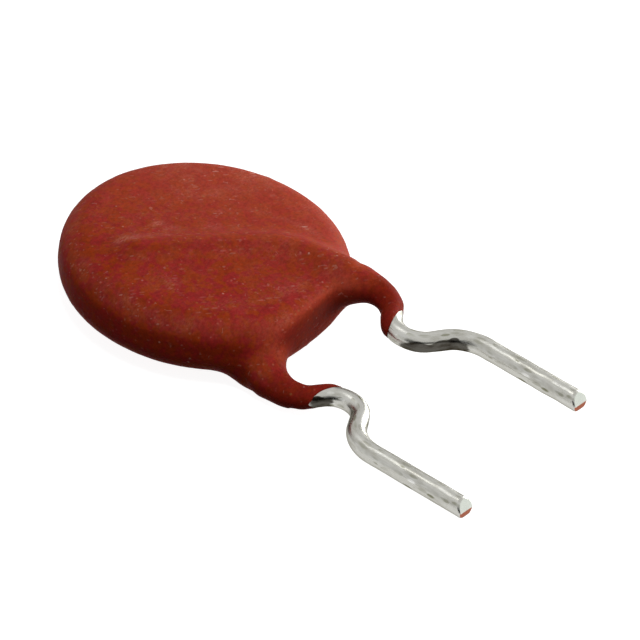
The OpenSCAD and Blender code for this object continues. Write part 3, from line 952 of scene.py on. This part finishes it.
def wireRadii(wire, angles, seed, shape):
    # the radius all round each ring, with slight ripples and the flats on the kink
    rng = np.random.default_rng(seed)
    radii = np.full((len(wire.places), len(angles)), wireShape["radius"])
    for _ in range(shape["ripples"]):
        turns = int(rng.integers(0, 5))
        span = rng.uniform(0.35, 2.4) * mm
        wave = np.sin(2 * math.pi * wire.length / span + rng.uniform(0, 6.3))[:, None]
        height = shape["ripple"] * rng.uniform(0.1, 0.5)
        radii += height * wave * np.cos(turns * angles + rng.uniform(0, 6.3))[None]
    slope = unit(wire.elbow - wire.kink)
    facing = np.array([slope[1], -slope[0], 0])
    facing = facing if facing[1] < 0 else -facing
    middle, bend = wire.lengthAt((wire.kink + wire.elbow) / 2), wire.lengthAt(wire.kink)
    front, behind, onKink = shape["pressReach"]
    depth, soft = shape["pressDepth"], shape["pressSoftness"]
    radii = pressFlat(radii, angles, wire, middle, front, facing, depth, soft)
    radii = pressFlat(radii, angles, wire, middle, behind, -facing, 0.5 * depth, soft)
    return pressFlat(radii, angles, wire, bend, onKink, np.array([0, -1, 0]), 0.4 * depth, soft)


def spokesOf(wire, angles):
    # the way out from the wire's middle line, for each ring and angle
    return (np.cos(angles)[None, :, None] * wire.side[:, None, :]
            + np.sin(angles)[None, :, None] * wire.up[:, None, :])


def endOfWire(wire, angles, rim, shape):
    # rings that close the end, with masks for the bare strip and for the rest of the cut
    tip, side, up, along = wire.places[-1], wire.side[-1], wire.up[-1], wire.along[-1]
    low, high, edge = shape["stripTop"] - shape["stripHeight"], shape["stripTop"], shape["stripEdge"]
    rows, strips, cuts = [], [], []
    for k in range(1, shape["endRings"]):
        inset = k / shape["endRings"]
        rounding = shape["roundTip"] * max(0, 1 - inset * wireShape["radius"] / shape["roundTip"]) ** 2
        x, z = rim * (1 - inset) * np.cos(angles), rim * (1 - inset) * np.sin(angles)
        depth = tipDepth(z, shape) + rounding + 0.0008 * mm * np.sin(x / (0.05 * mm)) * (1 - inset)
        rows.append(tip + x[:, None] * side + z[:, None] * up - depth[:, None] * along)
        strip = smoothStep(z, low - edge, low + edge) * (1 - smoothStep(z, high - edge, high + edge))
        strips.append(strip * smoothStep(inset, 0.02, 0.07))
        cuts.append((1 - strip) * smoothStep(inset, 0.06, 0.16) * (z > high))
    return np.array(rows), np.array(strips), np.array(cuts)


def stainAndReflectionMask(wire, angles, start, end, towards):
    # tarnish and painted reflection of dark surroundings on one side of a bend, between two lengths
    # along the wire
    facing = spokesOf(wire, angles) @ unit(np.array(towards))
    wander = 0.10 * np.sin(wire.length / (0.21 * mm)) + 0.07 * np.sin(wire.length / (0.083 * mm) + 1)
    across = smoothStep(facing + wander[:, None], 0.48, 0.74)
    run = smoothStep(wire.length, start - 0.15 * mm, start + 0.15 * mm) * (
        1 - smoothStep(wire.length, end - 0.35 * mm, end + 0.15 * mm))
    return across * run[:, None]


def keepDrawnPlaces(mesh, wire, angles, endRings):
    # the wire's own length and cross-section, so that the drawn grain follows every bend
    shrink = np.concatenate([np.ones(len(wire.length)), 1 - np.arange(1, endRings) / endRings])
    lengths = np.concatenate([wire.length, np.full(endRings - 1, wire.length[-1])])
    drawn = np.zeros((len(mesh.vertices), 3), dtype=np.float32)
    drawn[:-2, 0] = np.repeat(lengths, len(angles))
    for axis, turned in ((1, np.cos(angles)), (2, np.sin(angles))):
        drawn[:-2, axis] = (shrink[:, None] * (turned * wireShape["radius"])).ravel()
    mesh.attributes.new("drawn", "FLOAT_VECTOR", "POINT").data.foreach_set("vector", drawn.ravel())


def buildLead(name, wire, seed, stainAndPaintedReflection, shape):
    around = wireShape["around"]
    angles = np.arange(around) * 2 * math.pi / around
    radii = wireRadii(wire, angles, seed, shape)
    # the last stretch leans over to the cut
    back = tipDepth(np.sin(angles) * wireShape["radius"], shape) + shape["roundTip"]
    share = np.clip((wire.length - (wire.length[-1] - shape["tipLength"])) / shape["tipLength"], 0, 1)
    rows = (wire.places[:, None] + radii[..., None] * spokesOf(wire, angles)
            - (share[:, None] * back)[..., None] * wire.along[:, None])
    endRows, strips, cuts = endOfWire(wire, angles, radii[-1], shape)
    # both ends are closed to a point
    rings = np.concatenate([rows, endRows])
    tip = wire.places[-1] - tipDepth(0.0, shape) * wire.along[-1]
    vertices = np.vstack([rings.reshape(-1, 3), tip, wire.places[0]])
    ringed, last = len(vertices) - 2, len(vertices) - 2 - around
    faces = tubeFaces(len(rings), around)
    faces += [(last + j, last + (j + 1) % around, ringed) for j in range(around)]
    faces += [((j + 1) % around, j, ringed + 1) for j in range(around)]
    obj = newMeshObject(name, vertices + discMiddle, faces)
    mesh = obj.data
    faceOutwards(mesh)
    stainAndReflectionShare = stainAndReflectionMask(wire, angles, *stainAndPaintedReflection)
    for mask, onWire, onEnd in (("stainAndPaintedReflection", stainAndReflectionShare, 0 * cuts), ("cutFace", 0 * stainAndReflectionShare, cuts),
                                ("bareCopper", 0 * stainAndReflectionShare, strips)):
        keepMask(mesh, mask, np.concatenate([onWire.ravel(), onEnd.ravel(), [0, 0]]))
    keepDrawnPlaces(mesh, wire, angles, shape["endRings"])
    shadeSmooth(mesh)
    return obj


def leadMaterial(c):
    material, nodes, shader = newMaterial("tinnedWire")
    drawn = nodes.add("ShaderNodeAttribute", attribute_name="drawn").outputs["Vector"]
    along = nodes.moved(drawn, 0, 0, 0, (0.10, 1.0, 1.0))
    streaks = nodes.noise(along, 9000.0, 3, 0.6)
    patches = nodes.noise(nodes.moved(drawn, 0.013, 0.007, 0.002, (0.55, 1.0, 1.0)), 2600.0, 3, 0.6)
    tin = nodes.mix(nodes.remap(streaks, 0.35, 0.68, 0.0, 0.55), c["tin"], c["bright"])
    tin = nodes.mix(nodes.remap(patches, 0.50, 0.72, 0.0, 0.60), tin, c["shade"])
    long = nodes.moved(drawn, 0.004, 0.011, 0.006, (0.28, 1.0, 1.0))
    pits = placeSpecks(nodes, long, *c["pitKind"])
    tin = nodes.mix(nodes.times(pits, c["pitShare"]), tin, c["olive"])
    # painted glints
    paintedGlints = placeSpecks(nodes, nodes.moved(long, 0.021, 0.005, 0.017), *c["paintedGlintKind"])
    tin = nodes.mix(nodes.times(paintedGlints, c["paintedGlintShare"]), tin, c["paintedGlint"])
    # tarnish and painted dark reflection, broken up along the drawn streaks
    dark = nodes.plus(nodes.mask("stainAndPaintedReflection"), nodes.remap(streaks, 0.3, 0.7, 0.16, -0.30))
    dark = nodes.times(nodes.remap(dark, 0.25, 0.75), nodes.remap(patches, 0.3, 0.6, 1.0, 0.86))
    tin = nodes.mix(dark, tin, c["stainAndPaintedReflection"])
    # the cut end: a smeared bevel and a strip of bare copper
    tin = nodes.mix(nodes.times(nodes.mask("cutFace"), 0.9), tin, c["cut"])
    copperTone = nodes.mix(nodes.noise(drawn, 14000.0, 3, 0.7), c["darkCopper"], c["copper"])
    bare = nodes.plus(nodes.mask("bareCopper"), nodes.remap(patches, 0.3, 0.7, -0.12, 0.12))
    bare = nodes.remap(bare, 0.35, 0.65)
    nodes.feed(shader.inputs["Base Color"], nodes.mix(bare, tin, copperTone))
    shader.inputs["Metallic"].default_value = 1
    shader.inputs["Specular Tint"].default_value = c["edge"]
    rough = nodes.remap(streaks, 0.3, 0.7, c["roughness"] - 0.05, c["roughness"] + 0.08)
    rough = nodes.plus(rough, nodes.times(pits, 0.2))
    rough = nodes.plus(rough, nodes.times(bare, c["copperRoughness"] - c["roughness"]))
    nodes.feed(shader.inputs["Roughness"], rough)
    height = nodes.plus(nodes.times(streaks, 0.5), nodes.times(patches, 0.9))
    height = nodes.math("SUBTRACT", height, nodes.times(pits, 0.5))
    bumpFrom(nodes, shader, height, 0.6, c["relief"])
    return material


def buildLeads(shape, look):
    finish = leadMaterial(look)
    upperKink, upperElbow = upperWire.lengthAt(upperWire.kink), upperWire.lengthAt(upperWire.elbow)
    lowerKink = lowerWire.lengthAt(lowerWire.kink)
    # tarnish and painted dark reflection: from and to, along the wire, and the side that it's on
    upperStainAndReflection = (upperKink + 0.02 * mm, upperElbow + 0.25 * mm, (-0.5, -0.86, -0.25))
    lowerStainAndReflection = (lowerKink - 1.3 * mm, lowerKink - 0.45 * mm, (-0.5, -0.86, -0.35))
    for name, node, wire, seed, stainAndPaintedReflection in (
            ("upperWireTinned", "upper_lead", upperWire, 36, upperStainAndReflection),
            ("lowerWireTinned", "lower_lead", lowerWire, 37, lowerStainAndReflection)):
        lead = buildLead(name, wire, seed, stainAndPaintedReflection, shape)
        lead.data.materials.append(finish)
        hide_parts(node)
        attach(lead, "root")
        print(name + ":", len(lead.data.polygons), "faces")


buildLeads(leadShape, leadLook)


# the sealed pieces, each with the cloud that mixes its colours and those that vary its finish
innerLook = {
    "sinteredCeramic": {
        "pieces": ["ceramic_disc"],
        "patches": 1800.0, "grains": 14000.0, "metallic": 0,
        "colours": (linearColour(54, 52, 54), linearColour(76, 74, 74)),
        "colourCloud": ("Grain", 0.3, 0.7),
        "roughness": (0.62, 0.80), "roughCloud": "Patch",
        "relief": 0.008 * mm, "reliefStrength": 0.6, "reliefCloud": "Grain",
    },
    "firedSilver": {
        "pieces": ["upper_electrode", "lower_electrode"],
        "patches": 1300.0, "grains": 8000.0, "metallic": 1,
        "colours": (linearColour(200, 200, 192), linearColour(158, 156, 146)),
        "colourCloud": ("Patch", 0.35, 0.7),
        "roughness": (0.42, 0.60), "roughCloud": "Grain",
        "relief": 0.006 * mm, "reliefStrength": 0.5, "reliefCloud": "Grain",
    },
    "dullSolder": {
        "pieces": ["upper_solder", "lower_solder"],
        "patches": 2600.0, "grains": 7000.0, "metallic": 1,
        "colours": (linearColour(172, 171, 167), linearColour(128, 127, 124)),
        "colourCloud": ("Patch", 0.38, 0.66),
        "roughness": (0.30, 0.48), "roughCloud": "Other Patch",
        "relief": 0.010 * mm, "reliefStrength": 0.5, "reliefCloud": "Patch",
    },
}


def innerMaterial(name, c):
    material, nodes, shader = newMaterial(name)
    place = nodes.add("ShaderNodeTexCoord").outputs["Object"]
    mottle = placeGroup(nodes, mottleGroup, {"Place": place, "Patch Scale": c["patches"],
                                             "Grain Scale": c["grains"]})
    cloud, low, high = c["colourCloud"]
    base = nodes.mix(nodes.remap(mottle[cloud], low, high), *c["colours"])
    nodes.feed(shader.inputs["Base Color"], base)
    shader.inputs["Metallic"].default_value = c["metallic"]
    rough = nodes.remap(mottle[c["roughCloud"]], 0.3, 0.7, *c["roughness"])
    nodes.feed(shader.inputs["Roughness"], rough)
    bumpFrom(nodes, shader, mottle[c["reliefCloud"]], c["reliefStrength"], c["relief"])
    return material


def dressInside(look):
    for name, finish in look.items():
        material = innerMaterial(name, finish)
        for node in finish["pieces"]:
            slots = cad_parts[node].data.materials
            for index in range(len(slots)):
                slots[index] = material


dressInside(innerLook)
print("inner pieces finished")
